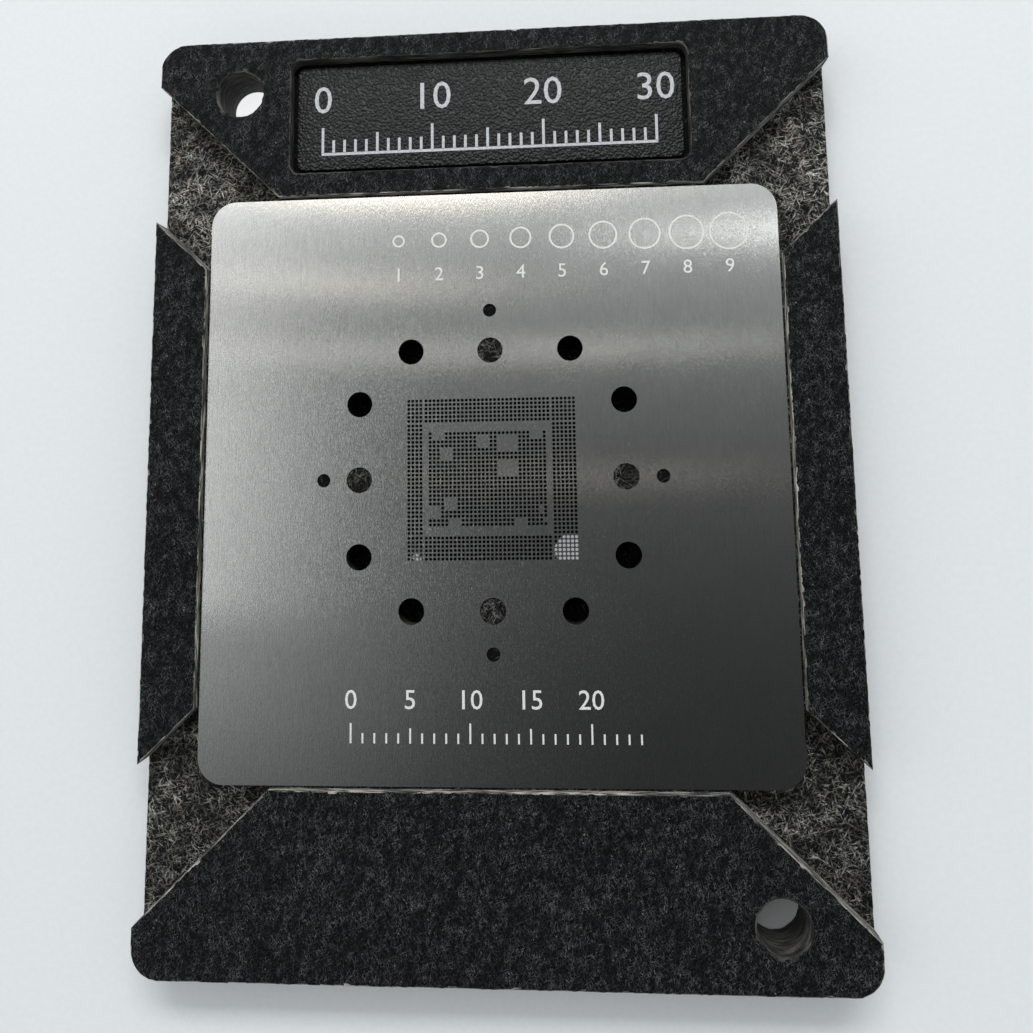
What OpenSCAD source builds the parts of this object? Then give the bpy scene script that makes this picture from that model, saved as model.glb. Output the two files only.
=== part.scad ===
// Solder paste stencil in its positioning plate. A thin square steel sheet with an etched field of
// apertures lies in a shallow pocket milled into a plate of black fibre composite. Disc magnets
// glued into the plate's underside hold the sheet down, and a printed film lies in a recess at one
// end. X runs across the plate, Y along it towards the film, and Z up from the underside.

/* [Plate] */
// Width of the plate, across
plate_w = 60; // [58:1:72]
// Length of the plate, along
plate_l = 80; // [76:1:100]
// Thickness of the plate at its lands
plate_t = 4; // [3.6:0.2:6]
// Radius of the plate's four corners
plate_corner_r = 2.4; // [1:0.2:3.4]

/* [Sheet] */
// Side of the square sheet
sheet_side = 50; // [48:0.5:51]
// Thickness of the sheet
sheet_t = 0.12; // [0.08:0.01:0.2]
// Radius of the sheet's corners
sheet_corner_r = 2.2; // [0.5:0.1:4]
// Width of each small nick where the sheet was snapped from its panel
nick_w = 0.8; // [0.4:0.1:1.5]
// Depth of each small nick
nick_depth = 0.14; // [0.05:0.01:0.3]
// Place along the far edge of its one nick, from the middle
far_nick_x = 2.9; // [-18:0.1:18]
// Place along the near edge of its left nick, from the middle
near_nick_left_x = -14.1; // [-18:0.1:-2]
// Place along the near edge of its right nick, from the middle
near_nick_right_x = 16.9; // [2:0.1:18]

/* [Sheet pocket] */
// Depth of the pocket that the sheet lies in
pocket_depth = 0.6; // [0.3:0.05:0.9]
// Gap between the sheet and each wall of its pocket
pocket_gap = 0.2; // [0.05:0.05:0.4]

/* [Lifting notches] */
// Depth of the notch floors below the lands
notch_depth = 2; // [1.2:0.1:2.8]
// Length of sheet edge that each notch frees, from the sheet's corner
notch_mouth = 6.2; // [4:0.1:9]
// Drop of a side land's tip from the sheet's corner
side_tip_drop = 1.7; // [0.5:0.1:3]
// Straight side of an end land, from the plate's end to the notch
end_land_side = 4; // [3.5:0.1:6]

/* [Film] */
// Width of the film's recess
recess_w = 35.6; // [24:0.1:36]
// Length of the film's recess, along the plate
recess_l = 10.6; // [6:0.1:10.8]
// Depth of the film's recess
recess_depth = 1; // [0.6:0.1:1.5]
// Radius of the recess's corners
recess_corner_r = 0.9; // [0.4:0.1:2.5]
// Wall between the recess and the end of the plate
recess_end_wall = 2.05; // [1.6:0.05:2.8]
// Gap between the film and each wall of its recess
film_gap = 0.45; // [0.1:0.05:0.6]
// Thickness of the film
film_t = 0.3; // [0.1:0.05:0.5]

/* [Pin bores] */
// Diameter of the two through bores
bore_d = 4.1; // [3:0.1:5]
// Distance of a bore from the plate's side
bore_side_inset = 7.5; // [7:0.1:9]
// Distance of a bore from the plate's end
bore_end_inset = 5; // [4:0.1:6]
// Width of the broken edge round each bore
bore_chamfer = 0.2; // [0.1:0.05:0.4]

/* [Vent holes] */
// Diameter of the twelve vent holes
vent_d = 2.2; // [1.6:0.1:2.8]
// Diameter of the four small register holes
register_d = 1.15; // [0.8:0.05:1.6]
// Distance of the register holes from the middle
register_reach = 14.5; // [14:0.1:16]
// Distance of the side vent holes from the middle
vent_side_reach = 11.4; // [11:0.1:12]
// Distance of the end vent holes from the middle
vent_end_reach = 11; // [10.6:0.1:11.4]
// Distance of the corner vents in an end row from the centre line
vent_end_offset = 6.9; // [6:0.1:7.6]
// Distance of the corner vents in a side row from the centre line
vent_side_offset = 6.5; // [6:0.1:7.2]
// Width of the four blind slots milled below the corner vents
slot_w = 2.6; // [2.2:0.1:2.8]
// Depth of the blind slots below the pocket floor
slot_depth = 2; // [1:0.1:2.4]

/* [Chip pocket] */
// Room round the aperture field in the chip pocket
chip_margin = 0.2; // [0.1:0.05:0.4]
// Depth of the chip pocket below the sheet pocket
chip_depth = 1; // [0.6:0.1:1.6]
// Diameter of the large through hole that a chip is pushed out by
push_hole_d = 3.1; // [2.4:0.1:3.3]
// Distance that the push hole's centre lies inside the chip pocket's corner
push_hole_inset = 0.7; // [0.6:0.1:1]
// Diameter of the relief holes at the chip pocket's other corners
relief_d = 1.6; // [1.2:0.1:2]

/* [Apertures] */
// Distance between neighbouring apertures
pitch = 0.35; // [0.34:0.005:0.355]
// Side of one square aperture
aperture_side = 0.24; // [0.18:0.01:0.26]
// Extra space beside the left and right blocks
column_space = 0.1; // [0:0.01:0.12]
// Extra space beside the end bands
row_space = 0.05; // [0:0.01:0.1]
// Real apertures that one modelled opening stands for, each way
merge = 2; // [2:1:4]

/* [Magnets] */
// Diameter of a disc magnet
magnet_d = 6; // [4:0.5:7]
// Thickness of a disc magnet
magnet_t = 2; // [1:0.1:2.2]
// Gap round a magnet in its blind bore
magnet_gap = 0.05; // [0.02:0.01:0.2]
// Depth of a magnet's face below the underside
magnet_inset = 0.1; // [0:0.05:0.3]
// Far distance of each magnet from a centre line
magnet_far = 18.5; // [17:0.5:20]
// Near distance of each magnet from a centre line
magnet_near = 9; // [7.5:0.5:11]

/* [Hidden] */
magnet_names = [for (i = [1 : 8]) str("magnet_", i)];
// Facets on a drawn arc, and the overshoot of a cut past a face
arc_fn = 64;
over = 1;

pocket_side = sheet_side + 2 * pocket_gap;
pocket_z = plate_t - pocket_depth;
notch_z = plate_t - notch_depth;
recess_z = plate_t - recess_depth;
recess_y = plate_l / 2 - recess_end_wall - recess_l / 2;
chip_z = pocket_z - chip_depth;
slot_z = pocket_z - slot_depth;
magnet_top = magnet_inset + magnet_t;

// The aperture field: columns run left to right and rows from the far end. The field has a block
// of full height at each side, a band at each end, and an inner field with blank patches.
columns = 41;
rows = 39;
left_columns = 4;
right_columns = 6;
band_rows = 6;
inner_rim_rows = 2;
inner_rim_columns = 1;
// Blank patches of the inner field: first and last column, first and last row
blanks = [
  [7, 9, 9, 10], [31, 33, 9, 10], [18, 20, 10, 12], [23, 27, 10, 13], [9, 11, 13, 15],
  [23, 27, 16, 19], [10, 12, 25, 27], [6, 8, 27, 29], [33, 33, 27, 28], [11, 13, 30, 31],
  [27, 29, 30, 31],
];
field_w = (columns - 1) * pitch + 2 * column_space;
field_l = (rows - 1) * pitch + 2 * row_space;
chip_w = field_w + aperture_side + 2 * chip_margin;
chip_l = field_l + aperture_side + 2 * chip_margin;
// A relief hole's edge passes through the corner of the chip pocket
relief_inset = relief_d / 2 * sin(45);

// Centre of a column or row, counted from 1; a fraction lies between two
function column_x(c) = (c - 1) * pitch - field_w / 2
  + (c > left_columns ? column_space : 0) + (c > columns - right_columns ? column_space : 0);
function row_y(r) = field_l / 2 - (r - 1) * pitch
  - (r > band_rows ? row_space : 0) - (r > rows - band_rows ? row_space : 0);

// True where a merged opening would touch a blank patch
function in_blank(c, r) = len([
  for (b = blanks) if (c > b[0] - 0.5 && c < b[1] + 0.5 && r > b[2] - 0.5 && r < b[3] + 0.5) 1
]) > 0;

// The middles of n merged openings over the columns or rows from first to last
function merged(first, last) = let(n = max(1, round((last - first + 1) / merge)))
  [for (i = [0 : n - 1]) first - 0.5 + (last - first + 1) * (i + 0.5) / n];

// Every opening of one block: its column, its row and how many columns and rows it spans
function block(c0, c1, r0, r1) = let(cs = merged(c0, c1), rs = merged(r0, r1))
  [for (c = cs, r = rs) [c, r, (c1 - c0 + 1) / len(cs), (r1 - r0 + 1) / len(rs)]];

band_c0 = left_columns + 1;
band_c1 = columns - right_columns;
openings = concat(
  block(1, left_columns, 1, rows),
  block(band_c1 + 1, columns, 1, rows),
  block(band_c0, band_c1, 1, band_rows),
  block(band_c0, band_c1, rows - band_rows + 1, rows),
  [
    for (o = block(band_c0 + inner_rim_columns, band_c1 - inner_rim_columns,
                   band_rows + inner_rim_rows + 1, rows - band_rows - inner_rim_rows))
      if (!in_blank(o[0], o[1])) o
  ]
);

// Steel left between two merged openings, so that as much of the sheet is open as in the real field
web = merge * (pitch - aperture_side);

// The eight magnets stand in four mirrored pairs round the chip pocket
magnet_spots = [
  for (sx = [-1, 1], sy = [-1, 1]) each [
    [sx * magnet_far, sy * magnet_near], [sx * magnet_near, sy * magnet_far]
  ]
];

// The two ends of each blind slot lie below a pair of corner vents
corner_vents = [
  for (sx = [-1, 1], sy = [-1, 1])
    [[sx * vent_end_offset, sy * vent_end_reach], [sx * vent_side_reach, sy * vent_side_offset]]
];
axis_vents = [
  [0, vent_end_reach], [0, -vent_end_reach], [vent_side_reach, 0], [-vent_side_reach, 0]
];
register_spots = [
  [0, register_reach], [0, -register_reach], [register_reach, 0], [-register_reach, 0]
];
bore_spots = [
  [bore_side_inset - plate_w / 2, plate_l / 2 - bore_end_inset],
  [plate_w / 2 - bore_side_inset, bore_end_inset - plate_l / 2]
];

// A rectangle with round corners, centred
module rounded_rectangle(w, l, r) {
  hull()
    for (sx = [-1, 1], sy = [-1, 1])
      translate([sx * (w / 2 - r), sy * (l / 2 - r)])
        circle(r = r, $fn = arc_fn);
}

// One lifting notch at the corner of positive X and Y: it frees the sheet's corner and runs out
// through the plate's side between the end land and the side land
module notch_outline() {
  edge = pocket_side / 2;
  mouth = sheet_side / 2 - notch_mouth;
  side_tip = sheet_side / 2 - side_tip_drop;
  end_tip = plate_l / 2 - end_land_side;
  polygon([
    [mouth, edge],
    [plate_w / 2, end_tip],
    [plate_w / 2 + over, end_tip],
    [plate_w / 2 + over, side_tip],
    [plate_w / 2, side_tip],
    [edge, mouth]
  ]);
}

// A blind slot that joins the two vents at one corner
module vent_slot(ends) {
  translate([0, 0, slot_z])
    linear_extrude(height = slot_depth + over)
      hull()
        for (p = ends)
          translate(p) circle(d = slot_w, $fn = arc_fn);
}

// A through bore with a broken edge at each face
module pin_bore() {
  translate([0, 0, -over]) cylinder(d = bore_d, h = plate_t + 2 * over, $fn = arc_fn);
  for (side = [0, 1])
    translate([0, 0, side * plate_t])
      mirror([0, 0, side])
        translate([0, 0, -bore_chamfer])
          cylinder(r1 = bore_d / 2 + 2 * bore_chamfer, r2 = bore_d / 2, h = 2 * bore_chamfer, $fn = arc_fn);
}

module plate_blank() {
  linear_extrude(height = plate_t) rounded_rectangle(plate_w, plate_l, plate_corner_r);
}

module sheet_pocket() {
  translate([0, 0, pocket_z + (plate_t - pocket_z + over) / 2])
    cube([pocket_side, pocket_side, plate_t - pocket_z + over], center = true);
}

module lifting_notches() {
  for (sx = [0, 1], sy = [0, 1])
    translate([0, 0, notch_z])
      linear_extrude(height = notch_depth + over)
        mirror([sx, 0]) mirror([0, sy]) notch_outline();
}

module film_recess() {
  translate([0, recess_y, recess_z])
    linear_extrude(height = recess_depth + over)
      rounded_rectangle(recess_w, recess_l, recess_corner_r);
}

// The pocket that holds the chip below the sheet, with a hole at each corner
module chip_pocket() {
  translate([0, 0, chip_z + (chip_depth + over) / 2])
    cube([chip_w, chip_l, chip_depth + over], center = true);
  translate([chip_w / 2 - push_hole_inset, push_hole_inset - chip_l / 2, -over])
    cylinder(d = push_hole_d, h = pocket_z + 2 * over, $fn = arc_fn);
  for (s = [[-1, -1], [-1, 1], [1, 1]])
    translate([s[0] * (chip_w / 2 - relief_inset), s[1] * (chip_l / 2 - relief_inset), -over])
      cylinder(d = relief_d, h = pocket_z + 2 * over, $fn = arc_fn);
}

module magnet_bores() {
  for (p = magnet_spots)
    translate([p[0], p[1], -over])
      cylinder(d = magnet_d + 2 * magnet_gap, h = magnet_top + over, $fn = arc_fn);
}

module base_plate() {
  color([0.09, 0.1, 0.1])
    difference() {
      plate_blank();
      sheet_pocket();
      lifting_notches();
      film_recess();
      chip_pocket();
      for (ends = corner_vents) vent_slot(ends);
      for (p = bore_spots) translate(p) pin_bore();
      magnet_bores();
    }
}

// The small nicks where the sheet was snapped from its panel
module nicks() {
  for (n = [[far_nick_x, 1], [near_nick_left_x, -1], [near_nick_right_x, -1]])
    translate([n[0], n[1] * sheet_side / 2])
      square([nick_w, 2 * nick_depth], center = true);
}

module aperture_field() {
  for (o = openings)
    translate([column_x(o[0]), row_y(o[1])])
      square([o[2] * pitch - web, o[3] * pitch - web], center = true);
}

module sheet_holes() {
  for (p = axis_vents) translate(p) circle(d = vent_d, $fn = arc_fn);
  for (pair = corner_vents, p = pair) translate(p) circle(d = vent_d, $fn = arc_fn);
  for (p = register_spots) translate(p) circle(d = register_d, $fn = arc_fn);
}

module stencil_sheet() {
  color([0.62, 0.63, 0.64])
    translate([0, 0, pocket_z])
      linear_extrude(height = sheet_t)
        difference() {
          rounded_rectangle(sheet_side, sheet_side, sheet_corner_r);
          nicks();
          sheet_holes();
          aperture_field();
        }
}

module nameplate_film() {
  color([0.14, 0.14, 0.15])
    translate([0, recess_y, recess_z])
      linear_extrude(height = film_t)
        rounded_rectangle(recess_w - 2 * film_gap, recess_l - 2 * film_gap, recess_corner_r - film_gap / 2);
}

module magnet(p) {
  color([0.75, 0.75, 0.73])
    translate([p[0], p[1], magnet_inset])
      cylinder(d = magnet_d, h = magnet_t, $fn = arc_fn);
}

base_plate();
stencil_sheet();
nameplate_film();
for (i = [0 : 7]) magnet(magnet_spots[i]);
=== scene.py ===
"""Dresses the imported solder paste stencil: its composite plate, etched steel sheet, film and magnets."""

import math
import random

import bpy
import numpy as np
from bpy.props import FloatProperty, FloatVectorProperty, IntProperty, PointerProperty
from mathutils import Matrix, Vector, noise
from mathutils.geometry import delaunay_2d_cdt


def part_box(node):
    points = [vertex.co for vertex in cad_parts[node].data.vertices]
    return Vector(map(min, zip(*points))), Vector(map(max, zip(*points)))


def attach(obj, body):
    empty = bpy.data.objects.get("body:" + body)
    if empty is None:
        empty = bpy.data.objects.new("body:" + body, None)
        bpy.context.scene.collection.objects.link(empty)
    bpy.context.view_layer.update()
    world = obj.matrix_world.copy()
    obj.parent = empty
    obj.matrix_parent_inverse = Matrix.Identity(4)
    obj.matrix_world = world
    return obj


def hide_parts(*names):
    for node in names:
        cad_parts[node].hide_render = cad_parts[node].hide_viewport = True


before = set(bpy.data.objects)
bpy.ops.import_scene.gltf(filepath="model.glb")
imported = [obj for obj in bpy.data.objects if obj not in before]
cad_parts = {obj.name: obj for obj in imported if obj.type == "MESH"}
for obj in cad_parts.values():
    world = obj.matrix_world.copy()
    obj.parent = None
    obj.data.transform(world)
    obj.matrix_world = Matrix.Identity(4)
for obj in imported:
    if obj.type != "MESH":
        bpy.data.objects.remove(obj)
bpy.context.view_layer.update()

bl_info = {
    "name": "Solder Paste Stencil",
    "version": (1, 0, 0),
    "blender": (4, 5, 0),
    "location": "3D View > Sidebar > Stencil",
    "description": "Builds the visible pieces of a solder paste stencil in its positioning plate",
    "category": "Object",
}

MM = 0.001


def mm(*sizes):
    """Millimetres as a tuple in metres."""
    return tuple(size * MM for size in sizes)


def length_prop(name, description, millimetres):
    """A length that a user may change."""
    value = millimetres * MM
    return FloatProperty(name=name, description=description, default=value, unit="LENGTH", precision=5)


def colour_prop(name, description, tone):
    """A colour that a user may change."""
    limits = {"min": 0, "max": 1}
    return FloatVectorProperty(name=name, description=description, subtype="COLOR", default=tone, **limits)


PLATE_LOW, PLATE_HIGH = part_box("base_plate")
SHEET_LOW, SHEET_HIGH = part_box("stencil_sheet")
FILM_LOW, FILM_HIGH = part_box("nameplate_film")
MAGNET_NODES = [f"magnet_{i}" for i in range(1, 9)]
MAGNET_GAP = 0.05 * MM
QUARTERS = ((1, 1), (-1, 1), (-1, -1), (1, -1))


# ---------------------------------------------------------------- plan outlines

def arc(centre, radius, start, end, steps):
    """Points on an arc, in degrees, from start to end with both ends."""
    turns = [math.radians(start + (end - start) * i / steps) for i in range(steps + 1)]
    return [(centre[0] + radius * math.cos(t), centre[1] + radius * math.sin(t)) for t in turns]


def circle(centre, radius, steps):
    """A closed ring, counter-clockwise, without its repeated last point."""
    return arc(centre, radius, 0, 360, steps)[:-1]


def rounded_rectangle(width, length, radius, steps=8, centre=(0.0, 0.0)):
    """A closed rectangle with round corners, counter-clockwise."""
    corners = ((1, -1, -90), (1, 1, 0), (-1, 1, 90), (-1, -1, 180))
    loop = []
    for side_x, side_y, start in corners:
        middle = (centre[0] + side_x * (width / 2 - radius), centre[1] + side_y * (length / 2 - radius))
        loop += arc(middle, radius, start, start + 90, steps)
    return loop


def stadium(start, end, radius, steps):
    """A closed slot outline round the line from start to end, counter-clockwise."""
    heading = math.degrees(math.atan2(end[1] - start[1], end[0] - start[0]))
    far_end = arc(end, radius, heading - 90, heading + 90, steps)
    return far_end + arc(start, radius, heading + 90, heading + 270, steps)


def divided(points, step, closed=True):
    """The same line with extra points, so that no stretch is longer than step."""
    ends = points[1:] + points[:1] if closed else points[1:]
    out = []
    for a, b in zip(points, ends):
        parts = max(1, math.ceil(math.dist(a, b) / step))
        out += [(a[0] + (b[0] - a[0]) * i / parts, a[1] + (b[1] - a[1]) * i / parts) for i in range(parts)]
    return out if closed else out + [points[-1]]


def inset(loop, distance):
    """A closed counter-clockwise loop moved inwards by distance, with mitred corners."""
    moved = []
    for before, here, after in zip(loop[-1:] + loop[:-1], loop, loop[1:] + loop[:1]):
        first = Vector((before[1] - here[1], here[0] - before[0])).normalized()
        second = Vector((here[1] - after[1], after[0] - here[0])).normalized()
        mitre = (first + second) / (1 + first.dot(second))
        moved.append((here[0] + mitre.x * distance, here[1] + mitre.y * distance))
    return moved


def within(circles, x, y, margin=0.0):
    """True where the point lies in one of the circles, each a middle and a radius, or within margin of it."""
    return any(math.hypot(x - cx, y - cy) < radius + margin for cx, cy, radius in circles)


def inside(loop, x, y):
    """True where the point lies in the closed loop."""
    found = False
    for (ax, ay), (bx, by) in zip(loop, loop[1:] + loop[:1]):
        if (ay > y) != (by > y) and x < (bx - ax) * (y - ay) / (by - ay) + ax:
            found = not found
    return found


# ---------------------------------------------------------------- solids from a plan

class Plan:
    """Outlines in one plane that cut it into regions, each with its own height above and below."""

    def __init__(self, step):
        self.step = step
        self.points = []
        self.lines = []

    def line(self, points, closed=True):
        """Adds an outline, with points no further apart than the plan's step."""
        points = divided(points, self.step, closed)
        first = len(self.points)
        self.points += points
        self.lines += [(first + i, first + i + 1) for i in range(len(points) - 1)]
        if closed:
            self.lines.append((first + len(points) - 1, first))

    def scatter(self, loop, spacing, clearance, seed):
        """Adds loosely gridded points inside a loop, clear of its edge, that carry surface relief."""
        dice = random.Random(seed)
        room = inset(loop, clearance)
        low_x, high_x = min(p[0] for p in room), max(p[0] for p in room)
        low_y, high_y = min(p[1] for p in room), max(p[1] for p in room)
        for i in range(int((high_x - low_x) / spacing) + 1):
            for j in range(int((high_y - low_y) / spacing) + 1):
                x = low_x + (i + dice.uniform(0.2, 0.8)) * spacing
                y = low_y + (j + dice.uniform(0.2, 0.8)) * spacing
                if inside(room, x, y):
                    self.points.append((x, y))


def edge_distance(points, starts, ends, reach):
    """Distance from each point to the nearest of many short lines, or reach where none is as near."""
    distance = np.full(len(points), reach)
    along = ends - starts
    length = np.maximum((along ** 2).sum(1), 1e-18)
    for first in range(0, len(points), 400):
        part = points[first:first + 400]
        offset = part[:, None, :] - starts[None, :, :]
        share = np.clip((offset * along[None]).sum(2) / length[None], 0, 1)
        gap = offset - share[:, :, None] * along[None]
        distance[first:first + 400] = np.minimum(np.sqrt((gap ** 2).sum(2)).min(1), reach)
    return distance


def raised(name, plan, region_of, level, height_of, reach=0.0):
    """Turns a plan into one closed mesh.

    region_of(x, y) gives the names of a spot's upper and lower region, or None where the solid is open.
    level holds each region's plain height, and height_of(region, x, y, rim) the true one, where rim is
    the distance to the region's nearest falling edge, as far as reach."""
    cut = delaunay_2d_cdt([Vector(p) for p in plan.points], plan.lines, [], 0, 1e-8, False)
    flat = np.array([(p.x, p.y) for p in cut[0]])
    faces = []
    regions = []
    for corners in cut[2]:
        middle = flat[list(corners)].mean(0)
        region = region_of(middle[0], middle[1])
        if region:
            faces.append(tuple(corners))
            regions.append(region)
    sides = {}
    for index, corners in enumerate(faces):
        for a, b in zip(corners, corners[1:] + corners[:1]):
            sides[a, b] = index

    def rim_lines(region, side):
        found = []
        for (a, b), index in sides.items():
            if regions[index][side] != region:
                continue
            other = sides.get((b, a))
            step = None if other is None else level[regions[other][side]] - level[region]
            if step is None or (step < 0 if side == 0 else step > 0):
                found.append((a, b))
        return found

    vertices = []
    at_point = {}
    by_region = {}
    for side in (0, 1):
        for region in sorted({r[side] for r in regions}):
            used = sorted({v for f, r in zip(faces, regions) if r[side] == region for v in f})
            rim = np.full(len(used), reach)
            if reach:
                lines = rim_lines(region, side)
                if lines:
                    starts = flat[[a for a, b in lines]]
                    ends = flat[[b for a, b in lines]]
                    rim = edge_distance(flat[used], starts, ends, reach)
            for v, distance in zip(used, rim):
                x, y = flat[v]
                by_region[v, side, region] = len(vertices)
                at_point.setdefault(v, []).append(len(vertices))
                vertices.append((x, y, height_of(region, x, y, float(distance))))

    def between(v, low, high):
        low_z, high_z = vertices[low][2], vertices[high][2]
        found = [i for i in at_point[v] if low_z < vertices[i][2] < high_z]
        return sorted(found, key=lambda i: vertices[i][2])

    polygons = []
    kinds = []
    for corners, region in zip(faces, regions):
        polygons.append([by_region[v, 0, region[0]] for v in corners])
        kinds.append(region[0])
        polygons.append([by_region[v, 1, region[1]] for v in reversed(corners)])
        kinds.append(region[1])

    def wall(a, b, low, high, kind):
        low_a, low_b = by_region[(a, *low)], by_region[(b, *low)]
        high_a, high_b = by_region[(a, *high)], by_region[(b, *high)]
        rise = between(b, low_b, high_b)
        fall = reversed(between(a, low_a, high_a))
        polygons.append([low_a, low_b, *rise, high_b, high_a, *fall])
        kinds.append(kind)

    for (a, b), index in sides.items():
        upper, lower = regions[index]
        other = sides.get((b, a))
        if other is None:
            wall(a, b, (1, lower), (0, upper), "side")
            continue
        next_upper, next_lower = regions[other]
        if level[upper] > level[next_upper]:
            wall(a, b, (0, next_upper), (0, upper), f"{next_upper}_wall")
        if level[lower] < level[next_lower]:
            wall(a, b, (1, lower), (1, next_lower), f"{lower}_wall")
    return new_mesh(name, vertices, polygons), kinds


def new_mesh(name, vertices, faces):
    """A mesh from its corners and faces."""
    mesh = bpy.data.meshes.new(name)
    mesh.from_pydata(vertices, [], faces)
    return mesh


def new_object(name, data):
    """Puts a mesh, light, camera or curve into the scene."""
    made = bpy.data.objects.new(name, data)
    bpy.context.scene.collection.objects.link(made)
    return made


SMOOTH_ANGLE = math.radians(35)


def new_piece(name, mesh, finishes):
    """Links a mesh as a piece of the object, shaded smooth except at its sharp edges."""
    piece = new_object(name, mesh)
    for finish in finishes:
        mesh.materials.append(finish)
    mesh.polygons.foreach_set("use_smooth", [True] * len(mesh.polygons))
    mesh.set_sharp_from_angle(angle=SMOOTH_ANGLE)
    mesh.update()
    return piece


# ---------------------------------------------------------------- shader building

class Signal:
    """One output socket of a node that takes part in Python sums."""

    def __init__(self, finish, socket):
        self.finish = finish
        self.socket = socket

    def sum_of(self, operation, first, second):
        return self.finish.node("ShaderNodeMath", {"operation": operation}, {0: first, 1: second})

    def __add__(self, other):
        return self.sum_of("ADD", self, other)

    def __sub__(self, other):
        return self.sum_of("SUBTRACT", self, other)

    def __rsub__(self, other):
        return self.sum_of("SUBTRACT", other, self)

    def __mul__(self, other):
        return self.sum_of("MULTIPLY", self, other)

    def __truediv__(self, other):
        return self.sum_of("DIVIDE", self, other)

    def __rpow__(self, other):
        return self.sum_of("POWER", other, self)

    __radd__ = __add__
    __rmul__ = __mul__


class Finish:
    """Builds the nodes of one material, world or light."""

    def __init__(self, owner):
        owner.use_nodes = True
        self.owner = owner
        self.tree = owner.node_tree
        self.tree.nodes.clear()

    def node(self, kind, settings, inputs, output=0):
        """Adds a node: its settings first, then the values or links of its sockets. Gives one output."""
        made = self.tree.nodes.new(kind)
        for key, value in settings.items():
            if key == "stops":
                ramp = made.color_ramp.elements
                for index, (place, colour) in enumerate(value):
                    stop = ramp[index] if index < 2 else ramp.new(place)
                    stop.position = place
                    stop.color = (*colour, 1.0)
            else:
                setattr(made, key, value)
        for key, value in inputs.items():
            if isinstance(value, Signal):
                self.tree.links.new(value.socket, made.inputs[key])
            elif made.inputs[key].type == "RGBA":
                made.inputs[key].default_value = (*value, 1.0)
            else:
                made.inputs[key].default_value = value
        return Signal(self, made.outputs[output]) if len(made.outputs) else None

    def step(self, value, low, high):
        """0 below low and 1 above high, with a soft ramp between."""
        inputs = {"Value": value, "From Min": low, "From Max": high}
        return self.node("ShaderNodeMapRange", {"interpolation_type": "SMOOTHSTEP"}, inputs)

    def least(self, value, limit):
        """The value, but never more than limit."""
        return self.node("ShaderNodeMath", {"operation": "MINIMUM"}, {0: value, 1: limit})

    def most(self, first, second):
        """The larger of two values."""
        return self.node("ShaderNodeMath", {"operation": "MAXIMUM"}, {0: first, 1: second})

    def blend(self, factor, first, second):
        """A colour that goes from first to second."""
        inputs = {0: factor, 6: first, 7: second}
        return self.node("ShaderNodeMix", {"data_type": "RGBA"}, inputs, 2)

    def along(self, axis, source="Object"):
        """One axis of the object's own place, or of the heading where the source is Generated."""
        spot = self.node("ShaderNodeTexCoord", {}, {}, source)
        return self.node("ShaderNodeSeparateXYZ", {}, {"Vector": spot}, axis)

    def place(self, size, turn=0.0, shift=(0.0, 0.0, 0.0)):
        """Object coordinates in units of size (metres each way), turned about Z by turn degrees."""
        spot = self.node("ShaderNodeTexCoord", {}, {}, "Object")
        rotation = (0.0, 0.0, math.radians(turn))
        inputs = {"Vector": spot, "Location": shift, "Rotation": rotation, "Scale": size}
        return self.node("ShaderNodeMapping", {"vector_type": "TEXTURE"}, inputs)

    def grain(self, size, turn=0.0, detail=2.0, shift=(0.0, 0.0, 0.0)):
        """Soft noise whose lumps measure size."""
        inputs = {"Vector": self.place(size, turn, shift), "Scale": 1.0, "Detail": detail}
        return self.node("ShaderNodeTexNoise", {}, inputs)

    def bump(self, height, distance):
        """A bumped normal from a height of 0 to 1."""
        return self.node("ShaderNodeBump", {}, {"Height": height, "Distance": distance})

    def surface(self, inputs):
        """Ends a material with one Principled surface."""
        shader = self.node("ShaderNodeBsdfPrincipled", {}, inputs)
        self.node("ShaderNodeOutputMaterial", {}, {"Surface": shader})
        return self.owner


def new_finish(name):
    """An empty material, ready for its nodes."""
    return Finish(bpy.data.materials.new(name))


def shaded(colour, share):
    """A colour made darker or lighter by a share."""
    return tuple(share * part for part in colour)


# ---------------------------------------------------------------- base plate

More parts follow.
